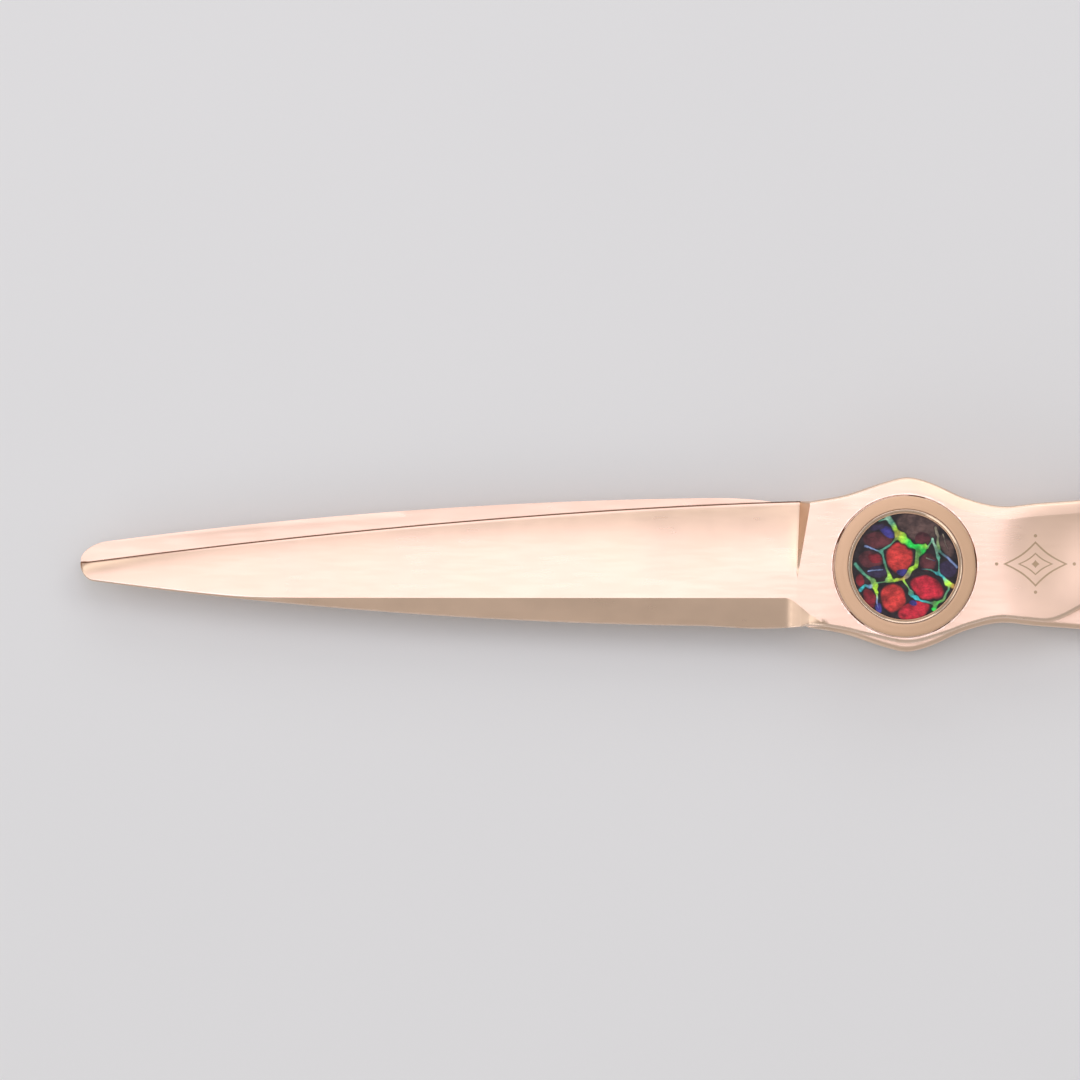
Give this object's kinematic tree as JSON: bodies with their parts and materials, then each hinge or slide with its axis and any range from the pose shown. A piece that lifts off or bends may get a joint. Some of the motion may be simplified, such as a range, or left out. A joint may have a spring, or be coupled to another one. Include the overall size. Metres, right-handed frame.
{
  "type": "hair cutting shears",
  "caption": "Hairdresser's shears with sword blades, offset handles, a ball bearing pivot, a tension dial with a mosaic inlay, and a screw-in finger rest.",
  "frame": {"origin": "centre of the pivot bolt's flat rear face, on the pivot's axis", "axes": "+X from the pivot towards the handles, +Y towards the finger ring, +Z along the pivot, from the rear face to the tension dial"},
  "size_m": [0.1685, 0.0698, 0.0065],
  "materials": {
    "finger_half_metal": "satin rose gold coating on stainless steel",
    "thumb_half_metal": "satin rose gold coating on stainless steel",
    "finger_rest_metal": "satin rose gold coating on stainless steel",
    "bolt_metal": "turned, rose gold coating",
    "dial_metal": "fine circular brushing, champagne gold coating",
    "bezel_metal": "polished champagne gold lip",
    "bearing_steel": "ground and polished",
    "spring_steel": "rolled spring steel",
    "cage_brass": "stamped brass",
    "bushing_bronze": "sintered bronze",
    "washer_plastic": "slippery white plastic",
    "inlay_backing": "dark cement",
    "inlay_stone": "polished mosaic of red cells with green and blue veins",
    "bumper_rubber": "moulded black rubber"
  },
  "bodies": {
    "finger_half": {"finger_half": "finger_half_metal", "pivot_bolt": "bolt_metal", "race_front": "bearing_steel", "click_plate": "spring_steel", "wave_washer": "spring_steel", "finger_rest": "finger_rest_metal", "finger_rest_washer": "bumper_rubber"},
    "thumb_half": {"thumb_half": "thumb_half_metal", "pivot_bushing": "bushing_bronze", "rear_glide_washer": "washer_plastic", "race_rear": "bearing_steel", "bumper": "bumper_rubber", "bumper_screw": "bearing_steel"},
    "bearing": {"bearing_cage": "cage_brass", "bearing_ball_1": "bearing_steel", "bearing_ball_2": "bearing_steel", "bearing_ball_3": "bearing_steel", "bearing_ball_4": "bearing_steel", "bearing_ball_5": "bearing_steel", "bearing_ball_6": "bearing_steel", "bearing_ball_7": "bearing_steel", "bearing_ball_8": "bearing_steel", "bearing_ball_9": "bearing_steel", "bearing_ball_10": "bearing_steel"},
    "tension_dial": {"tension_dial": "dial_metal", "bezel_ring": "bezel_metal", "inlay_backing": "inlay_backing", "inlay_disc": "inlay_stone"}
  },
  "joints": [
    {"name": "blade_pivot", "type": "hinge", "parent": "finger_half", "child": "thumb_half", "pos_m": [0, 0, 0.0029], "axis": [0, 0, -1], "range_deg": [0, 100]},
    {"name": "bearing_turn", "type": "hinge", "parent": "finger_half", "child": "bearing", "pos_m": [0, 0, 0.0029], "axis": [0, 0, -1], "range_deg": [0, 50]},
    {"name": "tension_dial_turn", "type": "hinge", "parent": "finger_half", "child": "tension_dial", "pos_m": [0, 0, 0.0057], "axis": [0, 0, -1], "range_deg": [-120, 60]}
  ],
  "couplings": [
    {"joint": "bearing_turn", "follows": "blade_pivot", "ratio": 0.5}
  ]
}
